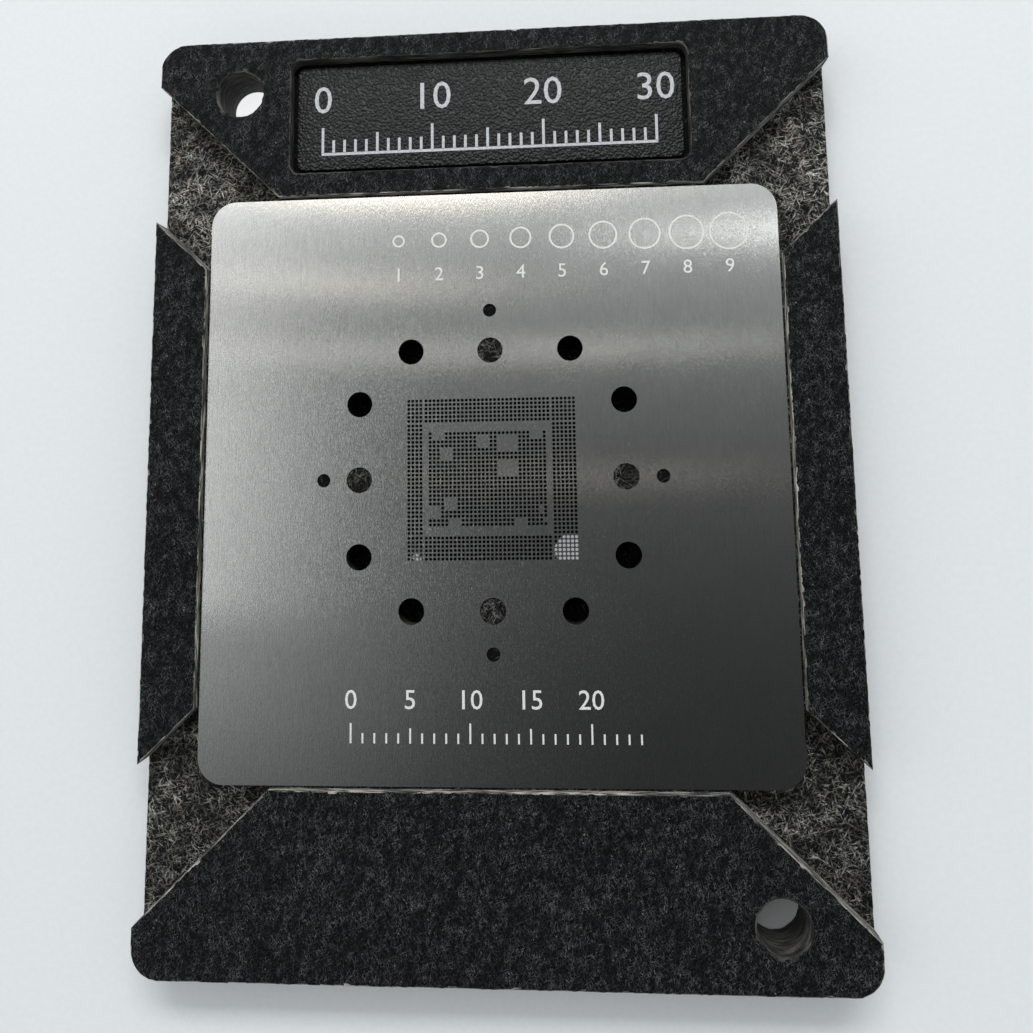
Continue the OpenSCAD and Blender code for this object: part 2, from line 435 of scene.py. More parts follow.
class PlateSettings(bpy.types.PropertyGroup):
    """Sizes and colours of the composite plate. They repeat the solid's own sizes."""

    corner_radius: length_prop("Corner radius", "Radius of the plate's corners", 2.4)
    pocket_depth: length_prop("Pocket depth", "Depth of the pocket that the sheet lies in", 0.6)
    pocket_gap: length_prop("Pocket gap", "Gap between the sheet and its pocket's walls", 0.2)
    notch_depth: length_prop("Notch depth", "Depth of the lifting notches below the lands", 2)
    notch_mouth: length_prop("Notch mouth", "Length of sheet edge that a notch frees", 6.2)
    side_tip_drop: length_prop("Side tip drop", "Drop of a side land's tip from the sheet's corner", 1.7)
    end_land_side: length_prop("End land side", "Straight side of an end land up to its notch", 4)
    recess_margin: length_prop("Recess margin", "Gap between the film and its recess's walls", 0.45)
    recess_radius: length_prop("Recess radius", "Radius of the recess's corners", 0.9)
    bore_diameter: length_prop("Bore diameter", "Diameter of the two through bores", 4.1)
    bore_side_inset: length_prop("Bore side inset", "Distance of a bore from the plate's side", 7.5)
    bore_end_inset: length_prop("Bore end inset", "Distance of a bore from the plate's end", 5)
    bore_break: length_prop("Bore edge break", "Width of the broken edge round a bore", 0.2)
    slot_width: length_prop("Slot width", "Width of the blind slots below the corner vents", 2.6)
    slot_depth: length_prop("Slot depth", "Depth of the blind slots below the pocket floor", 2)
    chip_margin: length_prop("Chip margin", "Room round the aperture field in the chip pocket", 0.2)
    chip_depth: length_prop("Chip depth", "Depth of the chip pocket below the sheet pocket", 1)
    push_hole_diameter: length_prop("Push hole diameter", "Hole that a chip is pushed out by", 3.1)
    push_hole_inset: length_prop("Push hole inset", "How far the push hole lies inside its corner", 0.7)
    relief_diameter: length_prop("Relief diameter", "Holes at the chip pocket's other corners", 1.6)
    edge_break: length_prop("Edge break", "Usual width of the worn edges of the lands", 0.11)
    floor_relief: length_prop("Floor relief", "Height of the torn fibres on the notch floors", 0.07)
    resin_colour: colour_prop("Resin", "Colour of the composite's resin", (0.0016, 0.0020, 0.0022))
    fibre_colour: colour_prop("Fibre", "Colour of the fibres at the faces", (0.120, 0.132, 0.133))
    floor_colour: colour_prop("Floor fibre", "Colour of the torn fibres on milled floors", (0.74, 0.72, 0.65))
    rust_colour: colour_prop("Brown fibre", "Colour of browner patches on milled floors", (0.46, 0.38, 0.29))
    cut_colour: colour_prop("Cut fibre", "Colour of the smeared fibres on milled walls", (0.50, 0.48, 0.43))


class SheetSettings(bpy.types.PropertyGroup):
    """Sizes and colours of the etched steel sheet."""

    corner_radius: length_prop("Corner radius", "Radius of the sheet's corners", 2.2)
    nick_width: length_prop("Nick width", "Width of a nick where the sheet left its panel", 0.8)
    nick_depth: length_prop("Nick depth", "Depth of a nick", 0.14)
    vent_diameter: length_prop("Vent diameter", "Diameter of the twelve vent holes", 2.2)
    register_diameter: length_prop("Register diameter", "Diameter of the four register holes", 1.15)
    register_reach: length_prop("Register reach", "Distance of the register holes from the middle", 14.5)
    pitch: length_prop("Pitch", "Distance between neighbouring apertures", 0.35)
    aperture: length_prop("Aperture", "Side of one square aperture", 0.24)
    aperture_radius: length_prop("Aperture radius", "Radius of an aperture's corners", 0.08)
    column_space: length_prop("Column space", "Extra space beside the left and right blocks", 0.1)
    row_space: length_prop("Row space", "Extra space beside the end bands", 0.05)
    columns: IntProperty(name="Columns", description="Columns of the aperture field", default=41, min=20)
    rows: IntProperty(name="Rows", description="Rows of the aperture field", default=39, min=20)
    steel_colour: colour_prop("Steel", "Colour of the steel's reflection", (0.60, 0.60, 0.585))
    etch_colour: colour_prop("Etching", "Colour of the etched marks", (0.80, 0.80, 0.78))


class FilmSettings(bpy.types.PropertyGroup):
    """Sizes and colours of the film at the plate's end."""

    edge_round: length_prop("Edge round", "Rounding of the film's upper edge", 0.08)
    pebble_size: length_prop("Pebble size", "Size of the film's grain", 0.24)
    print_height: length_prop("Print height", "Thickness of the printed ink", 0.02)
    film_colour: colour_prop("Film", "Colour of the film", (0.0045, 0.0048, 0.0050))
    ink_colour: colour_prop("Ink", "Colour of the print", (0.50, 0.515, 0.54))


class MagnetSettings(bpy.types.PropertyGroup):
    """Sizes and colours of the disc magnets."""

    edge_round: length_prop("Edge round", "Width of a magnet's broken edge", 0.2)
    nickel_colour: colour_prop("Nickel", "Colour of the nickel plating", (0.66, 0.64, 0.60))


class StageSettings(bpy.types.PropertyGroup):
    """The floor, the light and the camera."""

    floor_colour: colour_prop("Floor", "Colour of the floor", (0.70, 0.725, 0.735))
    floor_size: FloatProperty(name="Floor size", description="Side of the square floor", default=6.0,
                              unit="LENGTH")
    camera_place: FloatVectorProperty(name="Camera place", description="Where the camera stands",
                                      subtype="TRANSLATION", default=mm(6.81, 1.35, 73.55))
    camera_aim: FloatVectorProperty(name="Camera aim", description="Point that the camera looks at",
                                    subtype="TRANSLATION", default=mm(2.31, 9.41, 4))
    camera_roll: FloatProperty(name="Camera roll", description="Turn of the camera about its own axis",
                               subtype="ANGLE", default=math.radians(-0.9))
    camera_lens: FloatProperty(name="Lens", description="Focal length in millimetres", default=28.58)
    camera_shift: FloatProperty(name="Shift", description="Upward shift of the picture", default=-0.1447)


def cut_corner(settings):
    """Where each notch meets the pocket and the plate's outline, in the corner of positive X and Y."""
    half = (SHEET_HIGH.x - SHEET_LOW.x) / 2
    edge = half + settings.pocket_gap
    return {
        "edge": edge,
        "mouth": half - settings.notch_mouth,
        "end_tip": PLATE_HIGH.y - settings.end_land_side,
        "side_tip": half - settings.side_tip_drop,
        "side": PLATE_HIGH.x,
    }


def land_outlines(settings):
    """The four lands, counter-clockwise: far end, near end, right side and left side."""
    c = cut_corner(settings)
    outline = rounded_rectangle(2 * PLATE_HIGH.x, 2 * PLATE_HIGH.y, settings.corner_radius, 12)
    upper_right = [p for p in outline if p[0] > 0 and p[1] > 0]
    far = [(-c["mouth"], c["edge"]), (c["mouth"], c["edge"]), (c["side"], c["end_tip"])]
    far += upper_right
    far += [(-x, y) for x, y in reversed(upper_right)]
    far += [(-c["side"], c["end_tip"])]
    near = [(-x, -y) for x, y in far]
    near_side = [(c["edge"], -c["mouth"]), (c["side"], -c["side_tip"])]
    right = near_side + [(x, -y) for x, y in reversed(near_side)]
    left = [(-x, -y) for x, y in right]
    return far, near, right, left


def notch_outlines(settings):
    """The four notches, counter-clockwise."""
    c = cut_corner(settings)
    mouth = [(c["mouth"], c["edge"]), (c["edge"], c["mouth"])]
    first = mouth + [(c["side"], c["side_tip"]), (c["side"], c["end_tip"])]
    loops = []
    for side_x, side_y in QUARTERS:
        loop = [(side_x * x, side_y * y) for x, y in first]
        loops.append(loop if side_x * side_y > 0 else loop[::-1])
    return loops


def field_size(sheet):
    """Width and length of the aperture field, over the outer apertures."""
    width = (sheet.columns - 1) * sheet.pitch + 2 * sheet.column_space + sheet.aperture
    length = (sheet.rows - 1) * sheet.pitch + 2 * sheet.row_space + sheet.aperture
    return width, length


# Vents in the corner of positive X and Y, and the reach of the four vents on the centre lines
CORNER_VENTS = (mm(6.9, 11), mm(11.4, 6.5))
END_VENT_REACH = 11 * MM
SIDE_VENT_REACH = 11.4 * MM


def register_spots(sheet):
    """Middles of the four register holes."""
    reach = sheet.register_reach
    return [(0.0, reach), (0.0, -reach), (reach, 0.0), (-reach, 0.0)]


def register_seats(sheet):
    """Middle and radius of the spots of pocket floor below the register holes that are painted dark as shade.
    """
    return [(x, y, sheet.register_diameter * 0.6) for x, y in register_spots(sheet)]


def magnet_spots():
    """Middle of each magnet, from its packed box."""
    spots = []
    for node in MAGNET_NODES:
        low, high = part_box(node)
        spots.append(((low.x + high.x) / 2, (low.y + high.y) / 2, (high.x - low.x) / 2))
    return spots


def fibre_flecks(finish, size, turns, low, high, detail=1.5):
    """Short fibres that lie at several turns, as one mask."""
    total = None
    for index, turn in enumerate(turns):
        shift = (0.013 * index, 0.007 * index, 0.003 * index)
        mask = finish.step(finish.grain(size, turn, detail, shift), low, high)
        total = mask if total is None else finish.most(total, mask)
    return total


def composite_face(plate):
    """The moulded face of the lands and the plate's underside: black resin with fine pale fibres."""
    f = new_finish("composite_face")
    fine = fibre_flecks(f, mm(0.66, 0.095, 0.2), (62, 96, 128, 20), 0.53, 0.74)
    cloud = f.step(f.grain(mm(4.5, 3.5, 3.5), 40, 3.0, (0.02, 0.01, 0.0)), 0.30, 0.70)
    broad = f.step(f.grain(mm(1.1, 0.7, 0.7), 75, 3.0), 0.36, 0.66)
    spark = fibre_flecks(f, mm(0.34, 0.12, 0.2), (80, 140), 0.66, 0.78)
    dust = f.step(f.grain(mm(0.09, 0.09, 0.09), 0, 1.0), 0.35, 0.75)
    fibre = fine * (0.30 + 0.70 * broad) * (0.25 + 0.75 * dust) * (0.65 + 0.45 * cloud)
    shade = f.blend(fibre, plate.resin_colour, plate.fibre_colour)
    shade = f.blend(spark * broad * 0.35, shade, plate.cut_colour)
    height = 0.5 * fine + 0.3 * dust + 0.2 * broad
    return f.surface({
        "Base Color": shade,
        "Specular IOR Level": 0.06,
        "Roughness": 0.62 - 0.12 * broad,
        "Normal": f.bump(height, 0.035 * MM),
    })


def composite_floor(plate, name, paleness):
    """Milled floors: torn fibres, paler and slightly brown; painted light makes them paler towards the far
    end, and a paleness below one darkens them as painted shade.
    """
    f = new_finish(name)
    coarse = fibre_flecks(f, mm(0.80, 0.15, 0.3), (12, 58, 104, 150), 0.53, 0.74, 2.5)
    patch = f.step(f.grain(mm(2.6, 2.0, 2.0), 30, 3.0), 0.30, 0.70)
    rust = f.step(f.grain(mm(1.8, 1.1, 1.1), 130, 3.0, (0.04, 0.0, 0.0)), 0.48, 0.70)
    pit = f.step(f.grain(mm(0.22, 0.16, 0.2), 40, 2.0), 0.30, 0.62)
    # Painted light and shade: paler towards the far end, and darker by a paleness below one.
    wear_and_painted_light = paleness * (0.60 + 0.40 * f.step(f.along("Y"), -20 * MM, 30 * MM))
    tone = f.blend(patch, shaded(plate.floor_colour, 0.5), plate.floor_colour)
    tone = f.blend(rust * 0.7, tone, plate.rust_colour)
    fibre = coarse * (0.40 + 0.60 * patch) * (0.25 + 0.75 * pit) * wear_and_painted_light
    shade = f.blend(fibre, plate.resin_colour, tone)
    height = 0.7 * coarse + 0.3 * pit
    return f.surface({
        "Base Color": shade,
        "Specular IOR Level": 0.1,
        "Roughness": 0.72 - 0.14 * patch,
        "Normal": f.bump(height, 0.08 * MM),
    })


def composite_wall(plate, name, paleness):
    """Upright milled walls: smeared fibres in level streaks; a paleness below one darkens them as painted
    shade.
    """
    f = new_finish(name)
    streak = f.step(f.grain(mm(1.6, 1.6, 0.10), 0, 4.0), 0.36, 0.66)
    wear_and_painted_light = f.step(f.grain(mm(3.5, 3.5, 0.6), 0, 3.0), 0.32, 0.62)
    fibre = streak * (0.2 + 0.6 * wear_and_painted_light) * paleness
    return f.surface({
        "Base Color": f.blend(fibre, (0.008, 0.008, 0.008), plate.cut_colour),
        "Specular IOR Level": 0.15,
        "Roughness": 0.6 + 0.2 * streak,
        "Normal": f.bump(streak, 0.04 * MM),
    })


def composite_shade():
    """Painted shade: near-black composite with a few pale fibres for the deep pockets below the sheet, the
    recess, the magnet bores and the spots below the register holes.
    """
    f = new_finish("composite_shade")
    fleck = fibre_flecks(f, mm(0.6, 0.16, 0.3), (25, 115), 0.60, 0.78)
    stain = f.grain(mm(0.9, 0.9, 0.9), 0, 3.0)
    return f.surface({
        "Base Color": f.blend(fleck, (0.0015, 0.0015, 0.0015), (0.035, 0.038, 0.040)),
        "Specular IOR Level": 0.1,
        "Roughness": 0.7 + 0.2 * stain,
        "Normal": f.bump(0.6 * fleck + 0.4 * stain, 0.05 * MM),
    })


def plate_region(plate, sheet):
    """Gives the function that names the regions at one spot of the plate."""
    lands = land_outlines(plate)
    notches = notch_outlines(plate)
    recess = recess_outline(plate, 0.0)
    bores = bore_spots(plate)
    holes = chip_holes(plate, sheet)
    width, length = chip_size(plate, sheet)
    slots = slot_outlines(plate)
    magnets = magnet_spots()
    shade_spots = register_seats(sheet)

    def region_of(x, y):
        if within(bores + holes, x, y):
            return None
        lower = "magnet_bore" if within(magnets, x, y, MAGNET_GAP) else "underside"
        if any(inside(loop, x, y) for loop in notches):
            return "notch", lower
        if inside(recess, x, y):
            return "recess", lower
        if any(inside(loop, x, y) for loop in lands):
            return "land", lower
        if any(inside(loop, x, y) for loop in slots):
            return "slot", lower
        if abs(x) < width / 2 and abs(y) < length / 2:
            return "chip", lower
        # The pocket floor below a register hole takes the near-black finish: painted shade.
        if within(shade_spots, x, y):
            return "seat", lower
        return "pocket", lower

    return region_of


def recess_outline(plate, shrink):
    """The film's recess, made smaller by shrink on each side."""
    middle = (FILM_LOW + FILM_HIGH) / 2
    width = FILM_HIGH.x - FILM_LOW.x + 2 * plate.recess_margin - 2 * shrink
    length = FILM_HIGH.y - FILM_LOW.y + 2 * plate.recess_margin - 2 * shrink
    return rounded_rectangle(width, length, plate.recess_radius - shrink, 8, (middle.x, middle.y))


def bore_spots(plate):
    """Middle and radius of the two through bores."""
    x = PLATE_HIGH.x - plate.bore_side_inset
    y = PLATE_HIGH.y - plate.bore_end_inset
    return [(-x, y, plate.bore_diameter / 2), (x, -y, plate.bore_diameter / 2)]


def chip_size(plate, sheet):
    """Width and length of the chip pocket."""
    width, length = field_size(sheet)
    return width + 2 * plate.chip_margin, length + 2 * plate.chip_margin


def chip_holes(plate, sheet):
    """Middle and radius of the through holes at the chip pocket's corners."""
    width, length = chip_size(plate, sheet)
    inset_x = width / 2 - plate.push_hole_inset
    inset_y = plate.push_hole_inset - length / 2
    push = (inset_x, inset_y, plate.push_hole_diameter / 2)
    radius = plate.relief_diameter / 2
    corner_x = width / 2 - radius * math.sqrt(0.5)
    corner_y = length / 2 - radius * math.sqrt(0.5)
    return [push] + [(sx * corner_x, sy * corner_y, radius) for sx, sy in ((-1, -1), (-1, 1), (1, 1))]


def slot_outlines(plate):
    """The blind slots below the corner vents."""
    loops = []
    for sx, sy in QUARTERS:
        start, end = [(sx * x, sy * y) for x, y in CORNER_VENTS]
        loops.append(stadium(start, end, plate.slot_width / 2, 16))
    return loops


def plate_plan(plate, sheet):
    """Every outline of the plate, with rings beside the edges that are worn round."""
    plan = Plan(0.28 * MM)
    rings = (0.35 * plate.edge_break, plate.edge_break, 2.0 * plate.edge_break)
    for land in land_outlines(plate):
        plan.line(land)
        for ring in rings:
            plan.line(inset(land, ring))
    c = cut_corner(plate)
    for sx, sy in QUARTERS:
        plan.line([(sx * c["mouth"], sy * c["edge"]), (sx * c["edge"], sy * c["mouth"])], closed=False)
        plan.line([(sx * c["side"], sy * c["side_tip"]), (sx * c["side"], sy * c["end_tip"])], closed=False)
        for ring in rings:
            x = sx * (c["side"] - ring)
            plan.line([(x, sy * c["side_tip"]), (x, sy * c["end_tip"])], closed=False)
    for shrink in (0.0, *(-ring for ring in rings)):
        plan.line(recess_outline(plate, shrink))
    for x, y, radius in bore_spots(plate):
        for grow in (0.0, 0.35 * plate.bore_break, plate.bore_break, 2.0 * plate.bore_break):
            plan.line(circle((x, y), radius + grow, 72))
    for x, y, radius in chip_holes(plate, sheet):
        plan.line(circle((x, y), radius, 40))
    for x, y, radius in register_seats(sheet):
        plan.line(circle((x, y), radius, 32))
    x, y = [size / 2 for size in chip_size(plate, sheet)]
    plan.line([(-x, -y), (x, -y), (x, y), (-x, y)])
    for loop in slot_outlines(plate):
        plan.line(loop)
    for x, y, radius in magnet_spots():
        plan.line(circle((x, y), radius + MAGNET_GAP, 64))
    for index, notch in enumerate(notch_outlines(plate)):
        plan.scatter(notch, 0.2 * MM, 0.3 * MM, 11 + index)
    return plan


def build_base_plate(plate, sheet):
    """The composite plate: worn edges on the lands and torn fibres on the notch floors."""
    pocket = PLATE_HIGH.z - plate.pocket_depth
    level = {
        "land": PLATE_HIGH.z,
        "pocket": pocket,
        "seat": pocket,
        "recess": FILM_LOW.z,
        "notch": PLATE_HIGH.z - plate.notch_depth,
        "chip": pocket - plate.chip_depth,
        "slot": pocket - plate.slot_depth,
        "underside": PLATE_LOW.z,
        "magnet_bore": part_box(MAGNET_NODES[0])[1].z,
    }
    bores = bore_spots(plate)

    def worn_width(x, y):
        usual = plate.bore_break if within(bores, x, y, 1 * MM) else plate.edge_break
        short_waves = noise.noise(Vector((x, y, 0)) / (0.45 * MM))
        long_waves = noise.noise(Vector((x, y, 5)) / (2.2 * MM))
        return usual * min(2.0, max(0.45, 1.0 + 1.1 * (short_waves + 0.6 * long_waves)))

    def height_of(region, x, y, rim):
        z = level[region]
        if region in ("land", "notch", "underside"):
            width = worn_width(x, y)
            if rim < width:
                drop = width - math.sqrt(width ** 2 - (width - rim) ** 2)
                z += drop if region == "underside" else -drop
        if region == "notch":
            torn = noise.fractal(Vector((x, y, 0)) / (0.5 * MM), 0.8, 2.0, 4)
            z += plate.floor_relief * max(-1.0, min(1.0, torn)) * min(1.0, rim / (0.2 * MM))
        return z

    region_of = plate_region(plate, sheet)
    mesh, kinds = raised("base_plate", plate_plan(plate, sheet), region_of, level, height_of, 0.6 * MM)
    finishes = [
        composite_face(plate),
        composite_floor(plate, "notch_floor", 1.0),
        # The pocket floor is the milled floor made darker: painted shade.
        composite_floor(plate, "shaded_pocket_floor", 0.45),
        composite_wall(plate, "worn_wall", 1.0),
        # The milled wall made darker: painted shade on the plate's sides, its holes, the recess and the
        # deeper pockets.
        composite_wall(plate, "bore_wall", 0.22),
        composite_shade(),
    ]
    face, notch_floor, shaded_pocket_floor, worn_wall, bore_wall, shade = range(len(finishes))
    # The near-black shade finish on the pockets below the sheet, the recess and the register spots is painted
    # shade.
    places = {
        "land": face, "underside": face, "notch": notch_floor, "pocket": shaded_pocket_floor, "recess": shade,
        "chip": shade, "slot": shade, "seat": shade, "magnet_bore": shade,
        "notch_wall": worn_wall, "pocket_wall": worn_wall,
    }
    piece = new_piece("composite_plate", mesh, finishes)
    worn_below = PLATE_HIGH.z - 0.012 * MM
    recess = recess_outline(plate, -0.5 * MM)
    chosen = []
    for polygon, kind in zip(mesh.polygons, kinds):
        finish = places.get(kind, bore_wall)
        # Land edges by the bores and the recess take the darker wall as painted shade; the other edges keep
        # the pale worn wall.
        if kind == "land" and min(mesh.vertices[v].co.z for v in polygon.vertices) < worn_below:
            x, y, z = polygon.center
            by_opening = within(bores, x, y, 0.6 * MM) or inside(recess, x, y)
            finish = bore_wall if by_opening else worn_wall
        chosen.append(finish)
    mesh.polygons.foreach_set("material_index", chosen)
    return piece


class STENCIL_OT_base_plate(bpy.types.Operator):
    """Builds the composite plate that carries the sheet"""

    bl_idname = "stencil.base_plate"
    bl_label = "Composite plate"

    def execute(self, context):
        piece = build_base_plate(context.scene.stencil_plate, context.scene.stencil_sheet)
        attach(piece, "root")
        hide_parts("base_plate")
        return {"FINISHED"}


# ---------------------------------------------------------------- stencil sheet

# The aperture field: blocks of full height at both sides, a band at each end, and an inner field
# with blank patches. Each patch is given as first column, last column, first row and last row.
LEFT_COLUMNS = 4
RIGHT_COLUMNS = 6
BAND_ROWS = 6
RIM_ROWS = 2
RIM_COLUMNS = 1
BLANKS = (
    (7, 9, 9, 10), (31, 33, 9, 10), (18, 20, 10, 12), (23, 27, 10, 13), (9, 11, 13, 15), (23, 27, 16, 19),
    (10, 12, 25, 27), (6, 8, 27, 29), (33, 33, 27, 28), (11, 13, 30, 31), (27, 29, 30, 31), (34, 34, 30, 30),
)


def is_open(sheet, column, row):
    """True where the field has an aperture."""
    if column <= LEFT_COLUMNS or column > sheet.columns - RIGHT_COLUMNS:
        return True
    if row <= BAND_ROWS or row > sheet.rows - BAND_ROWS:
        return True
    if not LEFT_COLUMNS + RIM_COLUMNS < column <= sheet.columns - RIGHT_COLUMNS - RIM_COLUMNS:
        return False
    if not BAND_ROWS + RIM_ROWS < row <= sheet.rows - BAND_ROWS - RIM_ROWS:
        return False
    return not any(c0 <= column <= c1 and r0 <= row <= r1 for c0, c1, r0, r1 in BLANKS)


def column_places(sheet):
    """X of every column, from the left."""
    start = -((sheet.columns - 1) * sheet.pitch / 2 + sheet.column_space)
    return [start + (c - 1) * sheet.pitch
            + (sheet.column_space if c > LEFT_COLUMNS else 0)
            + (sheet.column_space if c > sheet.columns - RIGHT_COLUMNS else 0)
            for c in range(1, sheet.columns + 1)]


def row_places(sheet):
    """Y of every row, from the far end."""
    start = (sheet.rows - 1) * sheet.pitch / 2 + sheet.row_space
    return [start - (r - 1) * sheet.pitch
            - (sheet.row_space if r > BAND_ROWS else 0)
            - (sheet.row_space if r > sheet.rows - BAND_ROWS else 0)
            for r in range(1, sheet.rows + 1)]


# Middles of the nicks along the sheet's near and far edges
NEAR_NICKS = mm(-14.1, 16.9)
FAR_NICKS = mm(2.9)


def nicked_outline(sheet):
    """The sheet's outline, counter-clockwise, with one nick at its far edge and two at its near edge."""
    half = SHEET_HIGH.x
    radius = sheet.corner_radius
    edges = ((1, -1, NEAR_NICKS), (1, 1, ()), (-1, 1, FAR_NICKS), (-1, -1, ()))
    loop = []
    for index, (side_x, side_y, nicks) in enumerate(edges):
        for place in nicks:
            ahead = 1 if side_y < 0 else -1
            first = place - ahead * sheet.nick_width / 2
            last = place + ahead * sheet.nick_width / 2
            outer = side_y * half
            inner = side_y * (half - sheet.nick_depth)
            loop += [(first, outer), (first, inner), (last, inner), (last, outer)]
        start = -90 + 90 * index
        loop += arc((side_x * (half - radius), side_y * (half - radius)), radius, start, start + 90, 12)
    return loop


def sheet_circles(sheet):
    """Middle and radius of the vents and the register holes."""
    vent = sheet.vent_diameter / 2
    holes = [(sx * x, sy * y, vent) for sx, sy in QUARTERS for x, y in CORNER_VENTS]
    for side in (1, -1):
        holes.append((0.0, side * END_VENT_REACH, vent))
        holes.append((side * SIDE_VENT_REACH, 0.0, vent))
    holes += [(x, y, sheet.register_diameter / 2) for x, y in register_spots(sheet)]
    return holes


def build_sheet(sheet):
    """The steel sheet with its whole field of apertures."""
    plan = Plan(2.5 * MM)
    plan.line(nicked_outline(sheet))
    holes = sheet_circles(sheet)
    for x, y, radius in holes:
        plan.line(circle((x, y), radius, 48))
    xs = column_places(sheet)
    ys = row_places(sheet)
    for c, x in enumerate(xs, 1):
        for r, y in enumerate(ys, 1):
            if is_open(sheet, c, r):
                side = sheet.aperture
                plan.line(rounded_rectangle(side, side, sheet.aperture_radius, 3, (x, y)))
    half = sheet.aperture / 2
    straight = half - sheet.aperture_radius
    field_x, field_y = [size / 2 for size in field_size(sheet)]
    columns = np.array(xs)
    rows = np.array(ys)

    def region_of(x, y):
        if within(holes, x, y):
            return None
        if abs(x) < field_x and abs(y) < field_y:
            c = int(np.abs(columns - x).argmin())
            r = int(np.abs(rows - y).argmin())
            gap_x = max(abs(x - xs[c]) - straight, 0)
            gap_y = max(abs(y - ys[r]) - straight, 0)
            if math.hypot(gap_x, gap_y) < sheet.aperture_radius and is_open(sheet, c + 1, r + 1):
                return None
        return "top", "back"

    level = {"top": SHEET_HIGH.z, "back": SHEET_LOW.z}
    mesh = raised("stencil_sheet", plan, region_of, level, lambda region, x, y, rim: level[region])[0]
    return new_piece("steel_sheet", mesh, [brushed_steel(sheet)])


def brushed_steel(sheet):
    """Thin rolled steel brushed along Y, with faint stains and fine scratches."""
    f = new_finish("brushed_steel")
    hair = f.grain(mm(0.020, 0.26, 1), 0, 1.0)
    brush = f.grain(mm(0.06, 1.1, 1), 1.0, 2.0, (0.02, 0.0, 0.0))
    broad = f.grain(mm(2.2, 9, 5), 0, 3.0)
    stain = f.step(f.grain(mm(7, 5, 5), 20, 3.0, (0.01, 0.03, 0.0)), 0.35, 0.72)
    tone = sheet.steel_colour
    return f.surface({
        "Base Color": f.blend(0.35 * stain + 0.5 * f.step(brush, 0.35, 0.7), tone, shaded(tone, 0.86)),
        "Metallic": 1.0,
        "Roughness": 0.055 + 0.03 * broad + 0.01 * hair,
        "Normal": f.bump(0.75 * hair + 0.25 * brush, 0.0068 * MM),
    })


class STENCIL_OT_sheet(bpy.types.Operator):
    """Builds the etched steel sheet with every aperture"""

    bl_idname = "stencil.sheet"
    bl_label = "Steel sheet"

    def execute(self, context):
        piece = build_sheet(context.scene.stencil_sheet)
        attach(piece, "root")
        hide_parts("stencil_sheet")
        return {"FINISHED"}


# ---------------------------------------------------------------- marks

def figure(text, size, centre, depth):
    """Plain figures as a thin solid, lying flat with their middle at centre."""
    curve = bpy.data.curves.new("figure", "FONT")
    curve.body = text
    curve.size = size
    curve.align_x = "CENTER"
    curve.align_y = "CENTER"
    curve.extrude = depth / 2
    curve.resolution_u = 3
    holder = new_object("figure", curve)
    bpy.context.view_layer.update()
    settled = holder.evaluated_get(bpy.context.evaluated_depsgraph_get())
    mesh = bpy.data.meshes.new_from_object(settled)
    bpy.data.objects.remove(holder)
    bpy.data.curves.remove(curve)
    mesh.transform(Matrix.Translation((centre[0], centre[1], depth / 2)))
    return mesh


def bar(width, length, centre, depth):
    """A plain upright bar of ink or etching."""
    x, y = width / 2, length / 2
    ring = ((-x, -y), (x, -y), (x, y), (-x, y))
    vertices = [(centre[0] + px, centre[1] + py, z) for z in (0, depth) for px, py in ring]
    faces = [(3, 2, 1, 0), (4, 5, 6, 7), (0, 1, 5, 4), (1, 2, 6, 5), (2, 3, 7, 6), (3, 0, 4, 7)]
    return new_mesh("bar", vertices, faces)


def band(first, second, steps):
    """Faces between two rings of points, given where each ring starts."""
    nexts = [(i + 1) % steps for i in range(steps)]
    return [(first + i, first + j, second + j, second + i) for i, j in enumerate(nexts)]


def ring_mark(radius, line, centre, depth):
    """A flat ring, such as the outline of a ball."""
    steps = 40
    loops = (circle(centre, radius, steps), circle(centre, radius - line, steps))
    vertices = [(x, y, z) for loop in loops for z in (0, depth) for x, y in loop]
    outer, outer_top, inner, inner_top = range(0, 4 * steps, steps)
    faces = band(outer, outer_top, steps) + band(inner_top, inner, steps)
    faces += band(outer_top, inner_top, steps) + band(inner, outer, steps)
    return new_mesh("ring", vertices, faces)


def scale_marks(half, line, heights, foot, figures, centre, depth):
    """A millimetre scale, its sizes in millimetres: bars of three heights on one foot line, and figures.

    figures holds how many bars apart they stand, their size and the height of their middle."""
    tall, medium, short = heights
    apart, size, level = figures
    marks = []
    for index in range(2 * half + 1):
        height = tall if index % 10 == 0 else medium if index % 5 == 0 else short
        x = centre[0] + (index - half) * MM
        marks.append(bar(line * MM, height * MM, (x, centre[1] + (foot + height / 2) * MM), depth))
        if index % apart == 0:
            marks.append(figure(str(index), size * MM, (x, centre[1] + level * MM), depth))
    return marks


def joined(name, meshes, height):
    """One mesh out of many, raised to height."""
    vertices = []
    polygons = []
    for mesh in meshes:
        first = len(vertices)
        vertices += [(v.co.x, v.co.y, v.co.z + height) for v in mesh.vertices]
        polygons += [[first + v for v in polygon.vertices] for polygon in mesh.polygons]
        bpy.data.meshes.remove(mesh)
    return new_mesh(name, vertices, polygons)


def etched_steel(sheet):
    """Steel that a laser has frosted: dull and even from every side."""
    f = new_finish("etched_steel")
    speck = f.grain(mm(0.05, 0.05, 0.05), 0, 2.0)
    tone = sheet.etch_colour
    return f.surface({
        "Base Color": f.blend(f.step(speck, 0.3, 0.7), shaded(tone, 0.7), tone),
        "Metallic": 0.35,
        "Roughness": 0.75 + 0.15 * speck,
        "Normal": f.bump(speck, 0.01 * MM),
    })


# The ball gauge, in millimetres: where it starts, its step, its smallest ring and how much each one grows
GAUGE_RINGS = 9
GAUGE_START, GAUGE_STEP = -8.0, 3.6
GAUGE_RADIUS, GAUGE_GROWTH, GAUGE_LINE = 0.55, 0.14, 0.16
GAUGE_RING_Y, GAUGE_FIGURE_Y, GAUGE_FIGURE = 20.9, 17.8, 1.7
ETCH_HEIGHT = 0.015 * MM


